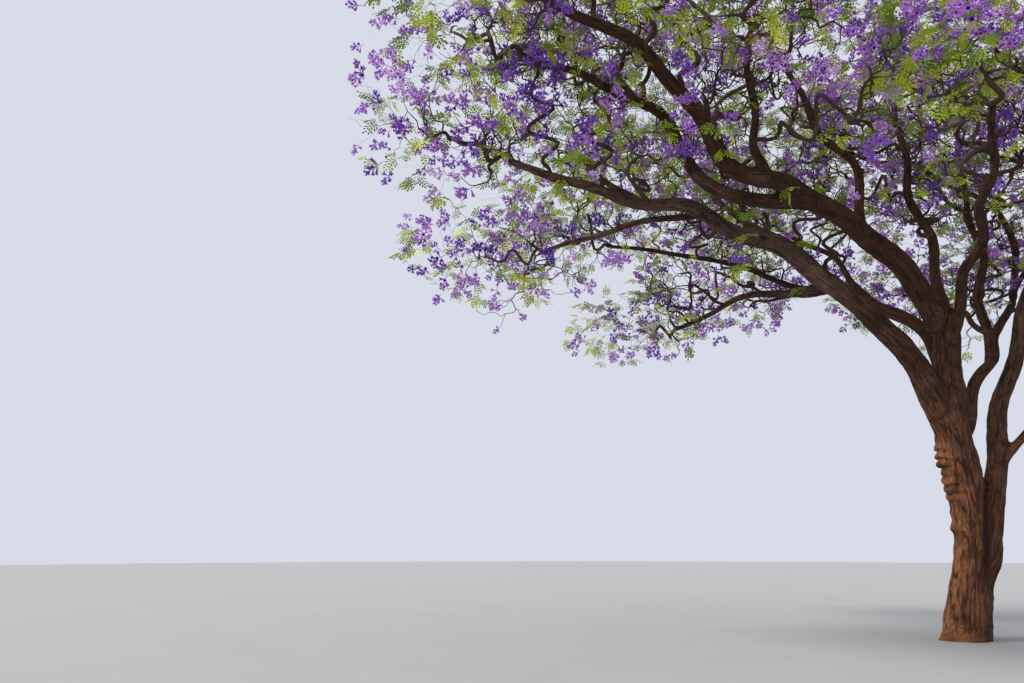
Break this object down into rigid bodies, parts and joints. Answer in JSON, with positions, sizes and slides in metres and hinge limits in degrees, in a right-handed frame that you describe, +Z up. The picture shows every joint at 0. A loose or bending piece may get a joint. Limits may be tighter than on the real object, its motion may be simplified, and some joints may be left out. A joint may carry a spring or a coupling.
{
  "type": "jacaranda tree",
  "caption": "Spreading jacaranda tree: a leaning forked trunk, arching boughs that reach out over one side, and an open crown of violet blossom and young lime-green leaves.",
  "frame": {"origin": "middle of the trunk's flat cut at ground level", "axes": "+Z up along the trunk; -X towards the side that the long boughs reach over; +Y away from the side the picture is taken from"},
  "size_m": [18.7784, 15.6034, 13.409],
  "materials": {
    "bark": "rough fissured bark, warm brown where the sun reaches it and near black in the creases",
    "leaves": "soft young lime-green leaves, ferny and matt",
    "blossom": "soft violet blossom in loose heads, matt"
  },
  "bodies": {
    "root": {"trunk": "bark", "upper_stem": "bark", "low_arch_bough": "bark", "high_arch_bough": "bark", "mid_arch_bough": "bark", "back_arch_bough": "bark", "right_stem": "bark", "inner_bough": "bark", "tall_bough": "bark", "crossing_riser": "bark", "crossing_bough": "bark", "first_riser": "bark", "second_riser": "bark", "front_arch_bough": "bark", "front_bough": "bark", "top_bough": "bark", "low_side_bough": "bark", "low_riser": "bark", "grey_bough": "bark", "back_left_bough": "bark", "back_mid_bough": "bark", "back_low_bough": "bark", "right_low_bough": "bark", "right_out_bough": "bark", "front_right_bough": "bark", "front_top_bough": "bark", "back_right_bough": "bark", "back_top_bough": "bark", "low_arch_mass": "blossom", "high_arch_mass": "leaves", "mid_arch_mass": "blossom", "back_arch_mass": "leaves", "right_mass": "leaves", "inner_mass": "blossom", "tall_mass": "leaves", "crossing_mass": "leaves", "first_riser_mass": "blossom", "second_riser_mass": "leaves", "front_arch_mass": "blossom", "front_mass": "leaves", "top_mass": "blossom", "low_side_mass": "blossom", "low_riser_mass": "leaves", "grey_mass": "blossom", "back_left_mass": "leaves", "back_mid_mass": "leaves", "back_low_mass": "blossom", "right_low_mass": "leaves", "right_out_mass": "blossom", "front_right_mass": "leaves", "front_top_mass": "blossom", "back_right_mass": "blossom", "back_top_mass": "blossom"}
  },
  "joints": []
}
